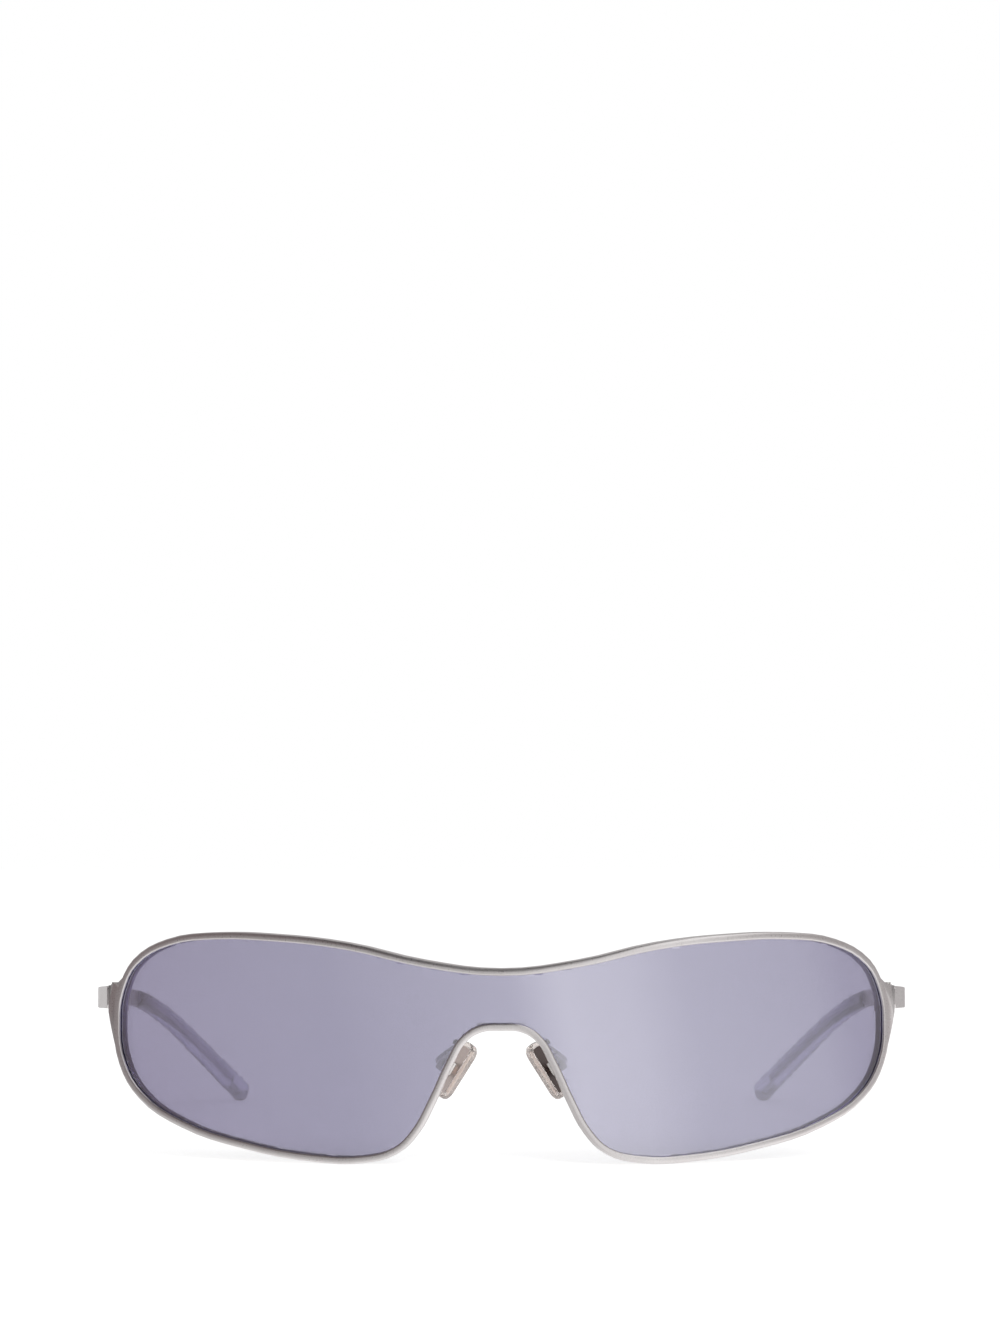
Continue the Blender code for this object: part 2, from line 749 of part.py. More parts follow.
def pad_slab(name, width, length, corner, low, high):
    """A rounded outline, narrower at its foot, from x = low to high in the pad's frame."""
    outline = [
        (across * (1 - PAD_TAPER_SHARE * (1 / 2 - up / PAD_LENGTH)), up)
        for across, up in rounded_rectangle(width, length, corner, CORNER_STEPS)
    ]
    item = slab(name, outline, low, high)
    item.data.transform(STAND_ON_EDGE)
    return item


def pad_screw_bore():
    reach = box_half_width() + CUT_OVERRUN
    return rod("bore", PAD_SCREW_RADIUS + BORE_CLEARANCE, -reach, reach, axis="Y")


def box_half_width():
    return LUG_THICKNESS / 2 + BOX_CLEARANCE + BOX_WALL


def make_pad(material, parent):
    """The soft pad, rounded towards the nose, with a pocket behind for its insert."""
    back = -BOX_FRONT - PAD_GAP
    item = pad_slab("nose_pad_right", PAD_WIDTH, PAD_LENGTH, PAD_CORNER, back - PAD_THICKNESS, back)
    item = round_edges(item, PAD_ROUNDING, 3)
    pocket = pad_slab(
        "pocket", INSERT_WIDTH + INSERT_CLEARANCE * 2, INSERT_LENGTH + INSERT_CLEARANCE * 2,
        INSERT_CORNER + INSERT_CLEARANCE, back - PAD_THICKNESS + PAD_SKIN, back + CUT_OVERRUN
    )
    return finish(combine(item, pocket, "DIFFERENCE"), material, parent)


def make_pad_insert(material, parent):
    """The metal plate in the pad, with the lug that the pad's screw goes through."""
    low = -BOX_FRONT - PAD_GAP - PAD_THICKNESS + PAD_SKIN + INSERT_CLEARANCE
    high = low + INSERT_THICKNESS
    item = pad_slab("pad_insert_right", INSERT_WIDTH, INSERT_LENGTH, INSERT_CORNER, low, high)
    tongue = arc((0, 0), LUG_RADIUS, -RIGHT_ANGLE, RIGHT_ANGLE, ROUND_STEPS // 2)
    tongue += [(low + INSERT_THICKNESS / 2, LUG_RADIUS), (low + INSERT_THICKNESS / 2, -LUG_RADIUS)]
    lug = plate("lug", tongue, -LUG_THICKNESS / 2, LUG_THICKNESS / 2)
    item = combine(item, lug, "UNION")
    return finish(combine(item, pad_screw_bore(), "DIFFERENCE"), material, parent)


def make_pad_box(place, material, parent):
    """The small open box at the end of the pad arm that takes the insert's lug."""
    half = box_half_width()
    item = box(
        "pad_box_right", (-BOX_FRONT, -half, -BOX_LENGTH / 2), (BOX_BACK, half, BOX_LENGTH / 2)
    )
    item = round_edges(item, BOX_ROUNDING, 2)
    slot = box(
        "slot", (-BOX_FRONT - CUT_OVERRUN, BOX_WALL - half, -BOX_LENGTH),
        (BOX_BACK - BOX_WALL, half - BOX_WALL, BOX_LENGTH)
    )
    item = combine(item, slot, "DIFFERENCE")
    return finish(combine(item, pad_screw_bore(), "DIFFERENCE"), material, parent, place)


def make_pad_screw(place, material, parent):
    """The screw through box and lug on which the pad rocks, headed towards the wearer."""
    face = box_half_width() + HINGE_CLEARANCE
    item = rod("pad_screw_right", PAD_SCREW_RADIUS, -face, face + PAD_SCREW_HEAD_HEIGHT / 2, axis="Y")
    head = rod("head", PAD_SCREW_HEAD_RADIUS, face, face + PAD_SCREW_HEAD_HEIGHT, axis="Y")
    return finish(combine(item, head, "UNION"), material, parent, place)


def make_pad_arm(line, place, material, parent):
    """A bent wire, soldered to the back of the rim beside the nose arch."""
    foot = on_wrap(arm_foot(line))
    route = [
        foot,
        on_wrap(arm_foot(line) + Vector((0, ARM_FOOT_LENGTH, 0))),
        foot + Vector(ARM_LOOP_OFFSET),
        foot + Vector(ARM_CROWN_OFFSET),
        place @ Vector((BOX_BACK + ARM_ELBOW_OUT, 0, 0)),
        place @ Vector((BOX_BACK + SEAT_GAP, 0, 0)),
    ]
    curve = bpy.data.curves.new("pad_arm_right", "CURVE")
    curve.dimensions = "3D"
    curve.bevel_depth = ARM_WIRE_RADIUS
    curve.bevel_resolution = 2
    curve.resolution_u = ARM_RESOLUTION
    curve.use_fill_caps = True
    spline = curve.splines.new("BEZIER")
    spline.bezier_points.add(len(route) - 1)
    for point, place in zip(spline.bezier_points, route):
        point.co = place
        point.handle_left_type = "AUTO"
        point.handle_right_type = "AUTO"
    spline.bezier_points[0].radius = ARM_FOOT_SWELL
    return finish(bake_curve(add_object("pad_arm_right", curve)), material, parent)


def build():
    steel = make_material("satin_steel", (0.42, 0.39, 0.37), 0.34, 1.0)
    polished = make_material("polished_steel", (0.55, 0.53, 0.51), 0.18, 1.0)
    mirror = make_material("mirror_tint", (0.33, 0.31, 0.42), 0.08, 0.6)
    clear = make_material("clear_plastic", (0.86, 0.86, 0.90), 0.08, 0.0, 0.9)
    soft = make_material("pad_plastic", (0.80, 0.70, 0.64), 0.18, 0.0, 0.7)
    dark = make_material("insert_metal", (0.16, 0.12, 0.11), 0.35, 0.8)

    line = lens_line()
    height = hinge_height(line)
    path = temple_path(height)
    pin = pin_point(height)
    place = pad_placement(line)
    depth = pin.y + path[-1].y + TIP_HEIGHT * TIP_SWELL / 2
    root = make_pivot("sunglasses", None, Matrix.Translation((0, -depth / 2, 0)))
    make_rim(line, steel, root)
    make_lens(line, mirror, root)

    temple = make_pivot("right_temple_pivot", root, Matrix.Translation(pin))
    pad = make_pivot("right_pad_pivot", root, place)
    pivots = {root: root}
    for pivot in (temple, pad):
        placement = MIRROR @ pivot.matrix_basis @ MIRROR
        pivots[pivot] = make_pivot(pivot.name.replace("right", "left"), root, placement)
    pieces = [
        make_hinge_leaf(pin, polished, root),
        make_hinge_screw(pin, polished, root),
        make_temple_knuckle(polished, temple),
        make_temple_strip(path, steel, temple),
        make_temple_tip(path, clear, temple),
        make_pad_arm(line, place, polished, root),
        make_pad_box(place, polished, root),
        make_pad_screw(place, polished, root),
        make_pad_insert(dark, pad),
        make_pad(soft, pad),
    ]
    for piece in pieces:
        mirror_to_left(piece, pivots[piece.parent])


for item in list(bpy.data.objects):
    bpy.data.objects.remove(item, do_unlink=True)
PARTS = bpy.data.collections.new("wraparound_sunglasses")
bpy.context.scene.collection.children.link(PARTS)
build()
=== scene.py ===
"""Wrap-around shield sunglasses, dressed: smooth surfaces, materials, light and camera.

Metres, +Z up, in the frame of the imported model. The front faces -Y.
"""

import json
import math

import bmesh
import bpy
from mathutils import Matrix, Vector
from mathutils.kdtree import KDTree

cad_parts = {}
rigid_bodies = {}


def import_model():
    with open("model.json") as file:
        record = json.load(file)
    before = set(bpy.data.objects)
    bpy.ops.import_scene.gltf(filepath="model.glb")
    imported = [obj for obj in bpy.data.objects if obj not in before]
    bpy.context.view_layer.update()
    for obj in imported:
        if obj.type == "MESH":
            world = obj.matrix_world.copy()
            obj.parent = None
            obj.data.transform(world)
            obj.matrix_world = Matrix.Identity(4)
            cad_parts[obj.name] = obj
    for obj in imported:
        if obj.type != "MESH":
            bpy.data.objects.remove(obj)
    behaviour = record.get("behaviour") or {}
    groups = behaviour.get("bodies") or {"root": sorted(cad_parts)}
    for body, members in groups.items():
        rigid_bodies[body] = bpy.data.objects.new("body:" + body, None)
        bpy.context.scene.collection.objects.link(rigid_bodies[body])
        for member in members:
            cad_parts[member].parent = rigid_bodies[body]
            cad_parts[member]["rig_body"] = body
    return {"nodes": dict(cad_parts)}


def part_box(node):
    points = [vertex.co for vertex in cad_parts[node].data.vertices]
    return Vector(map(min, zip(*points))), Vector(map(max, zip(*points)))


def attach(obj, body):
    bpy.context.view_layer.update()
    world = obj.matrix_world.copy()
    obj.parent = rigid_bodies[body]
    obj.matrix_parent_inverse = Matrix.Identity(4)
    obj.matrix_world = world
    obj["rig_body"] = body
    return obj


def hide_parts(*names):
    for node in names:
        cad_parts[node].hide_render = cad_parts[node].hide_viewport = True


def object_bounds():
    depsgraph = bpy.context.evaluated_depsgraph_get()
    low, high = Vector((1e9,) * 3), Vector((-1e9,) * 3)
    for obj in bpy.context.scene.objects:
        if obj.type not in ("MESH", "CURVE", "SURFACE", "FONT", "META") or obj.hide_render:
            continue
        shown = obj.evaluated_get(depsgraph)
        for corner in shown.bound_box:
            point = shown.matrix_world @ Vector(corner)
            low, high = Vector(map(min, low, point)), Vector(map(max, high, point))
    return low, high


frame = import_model()
CAD_BOX = [list(corner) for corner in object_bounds()]
FRONT_Y = CAD_BOX[0][1]

# Camera, from the photograph of 1000 by 1334 pixels
PHOTO_HEIGHT = 1334
FOCAL_PIXELS = 3245
SENSOR_HEIGHT = 36
CAMERA_DISTANCE = 0.576
CAMERA_HEIGHT = 0.0595
CAMERA_PITCH = math.radians(2.845)
CAMERA_YAW = math.radians(0.026)

# Studio: what is mirrored at each angle to the right of the camera, in degrees, what is mirrored
# above, from the far left to the far right, then above and behind, and low down on each side
WHITE = (1.0, 1.0, 1.0)
AROUND = (
    (-180, (0.30, 0.29, 0.30)), (-172, (0.45, 0.44, 0.45)), (-163, WHITE),
    (-150, (0.60, 0.58, 0.58)), (-140, (0.28, 0.26, 0.27)), (-120, (0.10, 0.09, 0.09)),
    (-100, (0.09, 0.08, 0.08)), (-80, (0.17, 0.145, 0.15)), (-59, (0.245, 0.205, 0.21)),
    (-28, (0.35, 0.34, 0.34)), (-19, (0.46, 0.45, 0.45)), (0, (0.63, 0.63, 0.63)),
    (8, (1.06, 1.06, 1.06)), (18, (0.96, 0.96, 0.96)), (28, (0.68, 0.68, 0.68)),
    (48, (0.52, 0.51, 0.51)), (55, (0.32, 0.30, 0.305)), (64, (0.35, 0.315, 0.32)),
    (78, (0.42, 0.39, 0.40)), (94, (0.78, 0.76, 0.76)), (106, WHITE), (136, WHITE),
    (148, (0.46, 0.44, 0.44)), (169, (0.40, 0.38, 0.38)), (176, (0.80, 0.79, 0.79)),
    (180, (0.80, 0.79, 0.79)),
)
ABOVE = (
    (0.00, (0.24, 0.20, 0.20)), (0.34, (0.18, 0.15, 0.155)), (0.41, (0.02, 0.015, 0.02)),
    (0.55, (0.02, 0.015, 0.02)), (0.59, (0.80, 0.79, 0.79)), (0.63, (1.30, 1.30, 1.30)),
    (0.72, (1.30, 1.30, 1.30)), (0.77, (0.60, 0.59, 0.59)), (0.83, (0.42, 0.40, 0.40)),
    (1.00, (0.45, 0.43, 0.43)),
)
BEHIND_ABOVE = (0.52, 0.51, 0.51)
NEAR_FLOOR_LEFT = (0.66, 0.65, 0.65)
NEAR_FLOOR_RIGHT = (1.10, 1.09, 1.09)
PANEL_LEAN = 0.08

# Where one part of the studio turns into the next, in parts of a direction of length 1
LEAN_BAND = (-0.08, 0.0)
BEHIND_BAND = (-0.1, 0.35)
ABOVE_BAND = (0.03, 0.13)
NEAR_FLOOR_BAND = (-0.09, -0.26)
NEAR_FLOOR_SIDES = (-0.2, 0.4)
TABLE_BAND = (-0.60, -0.88)

# Light and floor
AMBIENT = 0.7
LAMP_SIZE = 1.4
LAMP_PLACE = (0.9, -1.4, 1.5)
LAMP_POWER = 18.0
FLOOR_REACH = 4.0
FLOOR_GLOW = 0.62

# The middle of a noise's range, over which a finish runs from one value to another
NOISE_MIDDLE = (0.3, 0.7)
METAL_MIDDLE = (0.35, 0.65)
EVEN_GRAIN = (1, 1, 1)

# Rim and wrap, shared with the model
WRAP_RADIUS = 0.150
RIM_FACE_WIDTH = 0.0013
RIM_FRONT_LIP = 0.0005
RIM_FRONT_ROUNDING = 0.0004
RIM_DEPTH = 0.0034

# How closely meshes are remade
WELD_DISTANCE = 0.000001
SAME_PLACE = 0.00002
FLAT_ANGLE = math.radians(0.5)
SMOOTH_ANGLE = math.radians(40.0)
JOIN_ANGLE = math.radians(12.0)
LENS_STATION = 0.0009
LENS_CUT_DISTANCE = 20 * WELD_DISTANCE
LENS_EDGE_ANGLE = math.radians(60)
LENS_EDGE_BEVEL = 0.0002
LENS_BEVEL_STEPS = 2

# The rim's front, which falls away to its outer edge, and its inner wall, darkened as painted
# shade
RIM_SLOPE_START = 0.0007
RIM_FADE_END = 0.069
RIM_FADE_LENGTH = 0.008
INNER_EDGE_SHARE = 0.7
END_EDGE_SHARE = 0.25
END_EDGE_RUN = 0.001
RIM_SHADED_REACH = 0.0010
RIM_SHADED_DEPTH = RIM_DEPTH - 10 * SAME_PLACE

# The fuller upper outer corners of rim and lens
CORNER_PLACE = (0.0675, 0.0365)
CORNER_SWELL = 0.00085
CORNER_SPREAD = 0.022
CORNER_OUTER_FADE = (0.0685, 0.0745)
CORNER_LOWER_FADE = (0.024, 0.034)
DIAGONAL_SHARE = math.sqrt(0.5)

# Right temple's path, and the clear tip on it
TEMPLE_FRONT_OVERLAP = 0.0030
TEMPLE_SIDE_OFFSET = 0.00144
TEMPLE_STRAIGHT = 0.0098
TEMPLE_BOW_LENGTH = 0.0280
TEMPLE_MIDDLE_LENGTH = 0.0236
EAR_BEND_LENGTH = 0.0385
SPLAY_ANGLE = math.radians(13.4)
RETURN_ANGLE = math.radians(-3.9)
EAR_TURN_ANGLE = math.radians(-22.2)
TILT_ANGLE = math.radians(-3.0)
EAR_DROP_ANGLE = math.radians(-28.1)
PATH_STEP = 0.0001
STRIP_LENGTH = 0.0678
STRIP_RISE = 0.0002
SEAT_GAP = 0.00015
CORE_END_GAP = 0.0065
TIP_HEIGHT = 0.0034
TIP_WIDTH = 0.0026
TIP_CORNER = 0.00115
TIP_SWELL = 1.3
TIP_BORE_CLEARANCE = 0.0002
TIP_SLOT = (0.0013, 0.0018)
TIP_SLOT_CORNER = 0.0001
TIP_STATION = 0.0007
TIP_CORNER_STEPS = 8
TIP_END_STEPS = 12
TIP_END_REACH = 0.0021
# How far back from its front end the tip is darkened, a painted shade
TIP_PAINTED_SHADE_LENGTH = 0.011

# Solder behind the rim
BEAD_PLACE = (0.00825, -0.0668, 0.0216)
BEAD_SIZE = (0.00032, 0.00035, 0.0005)
BEAD_TILT = math.radians(-25)
BEAD_SLUMP = 0.12
BEAD_WAVES = (3, 2)
BEAD_SUBDIVISIONS = 3


def new_material(name, slot_name):
    """A material whose Principled BSDF is ready to take links."""
    material = bpy.data.materials.new(name)
    material.use_nodes = True
    material["slot"] = slot_name
    shader = material.node_tree.nodes["Principled BSDF"]
    return material, shader


def feed(owner, value, socket):
    """Link another socket to an input, or set its value."""
    if isinstance(value, bpy.types.NodeSocket):
        owner.node_tree.links.new(value, socket)
    else:
        socket.default_value = value


def add_node(owner, kind, **inputs):
    """A node in a material or a world, with its inputs fed."""
    node = owner.node_tree.nodes.new(kind)
    for name, value in inputs.items():
        feed(owner, value, node.inputs[name.replace("_", " ")])
    return node


def calculate(owner, operation, *values):
    """The result of a sum or a comparison of values."""
    node = owner.node_tree.nodes.new("ShaderNodeMath")
    node.operation = operation
    for value, socket in zip(values, node.inputs):
        feed(owner, value, socket)
    return node.outputs[0]


def blend(owner, factor, first, second):
    """A colour between two colours."""
    node = owner.node_tree.nodes.new("ShaderNodeMix")
    node.data_type = "RGBA"
    feed(owner, factor, node.inputs[0])
    for value, socket in ((first, node.inputs[6]), (second, node.inputs[7])):
        feed(owner, value if isinstance(value, bpy.types.NodeSocket) else (*value, 1), socket)
    return node.outputs[2]


def position(material):
    """The place on the piece in metres, which stays with it when it moves."""
    return add_node(material, "ShaderNodeTexCoord").outputs["Object"]


def stretched(material, scale):
    """The place, scaled along each axis, so that a noise becomes a grain."""
    mapping = add_node(material, "ShaderNodeMapping", Vector=position(material))
    mapping.inputs["Scale"].default_value = scale
    return mapping.outputs["Vector"]


def noise(material, vector, scale, detail=2.0, roughness=0.5):
    """A noise from 0 to 1, mostly near the middle."""
    return add_node(
        material, "ShaderNodeTexNoise", Vector=vector, Scale=scale, Detail=detail,
        Roughness=roughness
    ).outputs["Fac"]


def ramp(material, factor, stops):
    """A colour ramp through (place, colour) stops."""
    node = add_node(material, "ShaderNodeValToRGB", Fac=factor)
    elements = node.color_ramp.elements
    while len(elements) < len(stops):
        elements.new(0.5)
    for element, (place, color) in zip(elements, stops):
        element.position = place
        element.color = (*color, 1)
    return node.outputs["Color"]


def between(owner, value, first, last, low=0.0, high=1.0):
    """A value that runs from low to high while another runs from first to last."""
    return add_node(
        owner, "ShaderNodeMapRange", Value=value, From_Min=first, From_Max=last, To_Min=low,
        To_Max=high
    ).outputs["Result"]


def tones(material, factor, dark, light, middle=NOISE_MIDDLE):
    """A colour that runs from dark to light as a noise runs over the middle of its range."""
    return ramp(material, factor, list(zip(middle, (dark, light))))


def spread(material, factor, low, high):
    """A value that runs from low to high as a noise runs over the middle of its range."""
    return between(material, factor, *NOISE_MIDDLE, low, high)


def bump(material, shader, height, distance, strength=0.5):
    """Let a height tilt the surface in the shader."""
    node = add_node(material, "ShaderNodeBump", Height=height)
    node.inputs["Strength"].default_value = strength
    node.inputs["Distance"].default_value = distance
    feed(material, node.outputs["Normal"], shader.inputs["Normal"])


def metal(
    name, slot_name, dark, light, roughness, grain_scale, depth, grain=EVEN_GRAIN, metallic=1.0
):
    """Metal with a grain, slow changes of tone and varied roughness."""
    material, shader = new_material(name, slot_name)
    fine = noise(material, stretched(material, grain), grain_scale, detail=3.0, roughness=0.6)
    slow = noise(material, position(material), scale=90.0)
    tone = calculate(material, "MULTIPLY", calculate(material, "ADD", fine, slow), 0.5)
    color = tones(material, tone, dark, light, METAL_MIDDLE)
    feed(material, color, shader.inputs["Base Color"])
    feed(material, spread(material, fine, *roughness), shader.inputs["Roughness"])
    shader.inputs["Metallic"].default_value = metallic
    bump(material, shader, fine, depth)
    return material


def lens_material():
    """Violet-grey tint under a mirror coat, with faint smudges."""
    material, shader = new_material("tinted_mirror", "mirror_tint")
    slow = noise(material, position(material), scale=25.0, detail=1.0)
    color = tones(material, slow, dark=(0.295, 0.281, 0.408), light=(0.308, 0.294, 0.422))
    feed(material, color, shader.inputs["Base Color"])
    smudge = noise(material, position(material), scale=160.0, detail=4.0, roughness=0.7)
    feed(material, spread(material, smudge, low=0.015, high=0.045), shader.inputs["Roughness"])
    shader.inputs["Transmission Weight"].default_value = 1.0
    shader.inputs["IOR"].default_value = 1.5
    shader.inputs["Coat Weight"].default_value = 1.0
    shader.inputs["Coat IOR"].default_value = 3.0
    shader.inputs["Coat Roughness"].default_value = 0.02
    return material


def clear_material(name, slot_name, dark, light, roughness, transmission, ior, painted_shade=None):
    """Clear plastic with faint clouds and a finely uneven surface.

    With a painted shade, its colour is darker in its first stretch from front to back.
    """
    material, shader = new_material(name, slot_name)
    slow = noise(material, position(material), scale=220.0)
    color = tones(material, slow, dark, light)
    # Painted shade: a darker colour blended over the first stretch along Y
    if painted_shade:
        depth = add_node(material, "ShaderNodeSeparateXYZ", Vector=position(material)).outputs["Y"]
        shade_color, first, last = painted_shade
        color = blend(material, between(material, depth, first, last), shade_color, color)
    feed(material, color, shader.inputs["Base Color"])
    fine = noise(material, position(material), scale=1800.0, detail=3.0, roughness=0.6)
    feed(material, spread(material, fine, *roughness), shader.inputs["Roughness"])
    shader.inputs["Transmission Weight"].default_value = transmission
    shader.inputs["IOR"].default_value = ior
    bump(material, shader, fine, distance=0.000004, strength=0.3)
    return material


def new_object(name, data):
    """An object in the scene that holds a mesh, a lamp or a camera."""
    made = bpy.data.objects.new(name, data)
    bpy.context.scene.collection.objects.link(made)
    return made


def new_mesh(name, form):
    """A mesh from a finished bmesh."""
    mesh = bpy.data.meshes.new(name)
    form.to_mesh(mesh)
    form.free()
    return mesh


def welded(node):
    """A copy of a CAD node's mesh in one connected skin, with its flat faces whole."""
    form = bmesh.new()
    form.from_mesh(frame["nodes"][node].data)
    bmesh.ops.remove_doubles(form, verts=form.verts, dist=WELD_DISTANCE)
    join_flat_faces(form)
    return form


def join_flat_faces(form):
    """Join neighbouring faces that lie in one plane."""
    bmesh.ops.dissolve_limit(
        form, angle_limit=FLAT_ANGLE, use_dissolve_boundaries=False, verts=form.verts,
        edges=form.edges
    )


def join_pairs(form):
    """Join pairs of triangles that lie nearly in one plane."""
    bmesh.ops.join_triangles(
        form, faces=form.faces, angle_face_threshold=JOIN_ANGLE, angle_shape_threshold=JOIN_ANGLE
    )


def add_piece(name, form, material, *nodes):
    """Turn a finished bmesh into a piece that stands for CAD nodes and rides on their body."""
    mesh = new_mesh(name, form)
    mesh.shade_smooth()
    mesh.set_sharp_from_angle(angle=SMOOTH_ANGLE)
    piece = new_object(name, mesh)
    shading = piece.modifiers.new("flat faces stay flat", "WEIGHTED_NORMAL")
    shading.keep_sharp = True
    mesh.materials.append(material)
    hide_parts(*nodes)
    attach(piece, frame["nodes"][nodes[0]]["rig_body"])
    return piece


def smooth_copy(node, material):
    """The node's own shape, shaded smoothly where it is round."""
    return add_piece(f"{node}_smooth", welded(node), material, node)


def path_axes(distance):
    """Sideways, along and up directions of the right temple at a distance from its front end."""
    ear_start = TEMPLE_STRAIGHT + TEMPLE_BOW_LENGTH + TEMPLE_MIDDLE_LENGTH
    bow = min(max((distance - TEMPLE_STRAIGHT) / TEMPLE_BOW_LENGTH, 0), 1)
    ear = min(max((distance - ear_start) / EAR_BEND_LENGTH, 0), 1)
    heading = SPLAY_ANGLE + (RETURN_ANGLE - SPLAY_ANGLE) * bow
    heading += (EAR_TURN_ANGLE - RETURN_ANGLE) * ear
    pitch = TILT_ANGLE + (EAR_DROP_ANGLE - TILT_ANGLE) * ear
    side = Vector((math.cos(heading), -math.sin(heading), 0))
    along = Vector((
        math.sin(heading) * math.cos(pitch), math.cos(heading) * math.cos(pitch), math.sin(pitch)
    ))
    return side, along, side.cross(along)


def temple_path():
    """Points along the right temple, down to where its tip meets the table."""
    screw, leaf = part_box("hinge_screw_right"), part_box("hinge_leaf_right")
    pin = Vector((
        (screw[0][0] + screw[1][0]) / 2, (screw[0][1] + screw[1][1]) / 2,
        (leaf[0][2] + leaf[1][2]) / 2
    ))
    offset = Vector((TEMPLE_SIDE_OFFSET, -TEMPLE_FRONT_OVERLAP, STRIP_RISE))
    points = [pin + Matrix.Rotation(-SPLAY_ANGLE, 3, "Z") @ offset]
    bent = TEMPLE_STRAIGHT + TEMPLE_BOW_LENGTH + TEMPLE_MIDDLE_LENGTH + EAR_BEND_LENGTH
    while points[-1].z > TIP_HEIGHT * TIP_SWELL / 2 or len(points) * PATH_STEP < bent:
        middle = (len(points) - 1 / 2) * PATH_STEP
        points.append(points[-1] + path_axes(middle)[1] * PATH_STEP)
    return points


def add_ring(form, path, distance, section, scale=1.0):
    """A cross-section of the right temple, as new vertices."""
    index = min(max(int(distance / PATH_STEP), 0), len(path) - 2)
    share = distance / PATH_STEP - index
    centre = path[index] + (path[index + 1] - path[index]) * share
    side, _, above = path_axes(distance)
    return [
        form.verts.new(centre + side * across * scale + above * up * scale)
        for across, up in section
    ]


def rounded_rectangle(width, height, corner):
    """Points round a section of the tip."""
    points = []
    for quarter, (right, top) in enumerate(((1, 1), (-1, 1), (-1, -1), (1, -1))):
        for step in range(TIP_CORNER_STEPS + 1):
            angle = (quarter + step / TIP_CORNER_STEPS) * math.pi / 2
            points.append((
                (width / 2 - corner) * right + corner * math.cos(angle),
                (height / 2 - corner) * top + corner * math.sin(angle)
            ))
    return points


def tip_stations(start, end):
    """Distances and scales of the tip's sections. It swells, and closes in a round end."""
    steps = math.ceil((end - start) / TIP_STATION)
    for index in range(steps):
        share = index / steps
        yield start + (end - start) * share, 1 + (TIP_SWELL - 1) * share
    for index in range(TIP_END_STEPS):
        angle = math.pi / 2 * index / TIP_END_STEPS
        yield end + TIP_END_REACH * math.sin(angle), TIP_SWELL * math.cos(angle)


def join_rings(form, rings):
    """Skin the gap between each ring and the next."""
    for ring, following in zip(rings, rings[1:]):
        for index, vertex in enumerate(ring):
            form.faces.new((ring[index - 1], vertex, following[index], following[index - 1]))


def make_tip(side, material):
    """A clear tip of finely spaced sections, with a slot that the temple's core lies in."""
    path = temple_path()
    start, end = STRIP_LENGTH + SEAT_GAP, (len(path) - 1) * PATH_STEP
    slot_end = end - CORE_END_GAP + TIP_BORE_CLEARANCE
    outside = rounded_rectangle(TIP_WIDTH, TIP_HEIGHT, TIP_CORNER)
    inside = rounded_rectangle(*TIP_SLOT, TIP_SLOT_CORNER)
    form = bmesh.new()
    outer = [
        add_ring(form, path, distance, outside, scale)
        for distance, scale in tip_stations(start, end)
    ]
    steps = math.ceil((slot_end - start) / TIP_STATION)
    inner = [
        add_ring(form, path, start + (slot_end - start) * index / steps, inside)
        for index in range(steps + 1)
    ]
    join_rings(form, outer)
    join_rings(form, inner)
    join_rings(form, [outer[0], inner[0]])
    form.faces.new(inner[-1])
    bmesh.ops.poke(form, faces=[form.faces.new(outer[-1])])
    bmesh.ops.recalc_face_normals(form, faces=form.faces)
    for vertex in form.verts:
        vertex.co.z = max(vertex.co.z, CAD_BOX[0][2])
        if side == "left":
            vertex.co.x = -vertex.co.x
    if side == "left":
        bmesh.ops.reverse_faces(form, faces=form.faces)
    return add_piece(f"temple_tip_{side}_fine", form, material, f"temple_tip_{side}")


def make_bead(side, material):
    """The drop of solder behind the rim that holds a pad arm."""
    form = bmesh.new()
    bmesh.ops.create_icosphere(form, subdivisions=BEAD_SUBDIVISIONS, radius=1.0)
    place = Vector(BEAD_PLACE)
    turn = Matrix.Rotation(BEAD_TILT, 4, "Y")
    waves_across, waves_up = BEAD_WAVES
    for vertex in form.verts:
        wave = math.sin(waves_across * vertex.co.x + waves_up * vertex.co.z)
        slump = 1 + BEAD_SLUMP * wave
        reach = [size * part * slump for size, part in zip(BEAD_SIZE, vertex.co)]
        point = turn @ Vector(reach) + place
        vertex.co = (point.x if side == "right" else -point.x, point.y, point.z)
    if side == "left":
        bmesh.ops.reverse_faces(form, faces=form.faces)
    mesh = new_mesh(f"solder_bead_{side}", form)
    mesh.shade_smooth()
    mesh.materials.append(material)
    bead = new_object(f"solder_bead_{side}", mesh)
    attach(bead, "front")


def unrolled(point):
    """The flat place (across, depth, up) of a point on the wrap."""
    centre = Vector((0, FRONT_Y + WRAP_RADIUS))
    offset = Vector((point.x, centre.y - point.y))
    angle = math.atan2(offset.x, offset.y)
    return Vector((angle * WRAP_RADIUS, WRAP_RADIUS - offset.length, point.z))


def rolled(point):
    """Roll a flat place (across, depth, up) onto the wrap."""
    angle = point.x / WRAP_RADIUS
    reach = WRAP_RADIUS - point.y
    depth = FRONT_Y + WRAP_RADIUS - reach * math.cos(angle)
    return Vector((reach * math.sin(angle), depth, point.z))


def eased(value, first, last):
    """A smooth step from 0 at first to 1 at last."""
    share = min(max((value - first) / (last - first), 0), 1)
    return share * share * (3 - 2 * share)


def with_full_corners(point):
    """Move a flat place outwards near the two upper outer corners, which are a little fuller."""
    across, up = abs(point.x), point.z
    gap = math.hypot(across - CORNER_PLACE[0], up - CORNER_PLACE[1]) / CORNER_SPREAD
    swell = CORNER_SWELL * math.cos(min(gap, 1) * math.pi / 2) ** 2
    swell *= 1 - eased(across, *CORNER_OUTER_FADE)
    swell *= eased(up, *CORNER_LOWER_FADE)
    step = swell * DIAGONAL_SHARE
    top = max(up, min(up + step, CAD_BOX[1][2]))
    return Vector((point.x + math.copysign(step, point.x), point.y, top))


def place_tree(places):
    """A search tree over flat places, whatever their depth."""
    tree = KDTree(len(places))
    for index, place in enumerate(places):
        tree.insert((place.x, 0, place.z), index)
    tree.balance()
    return tree


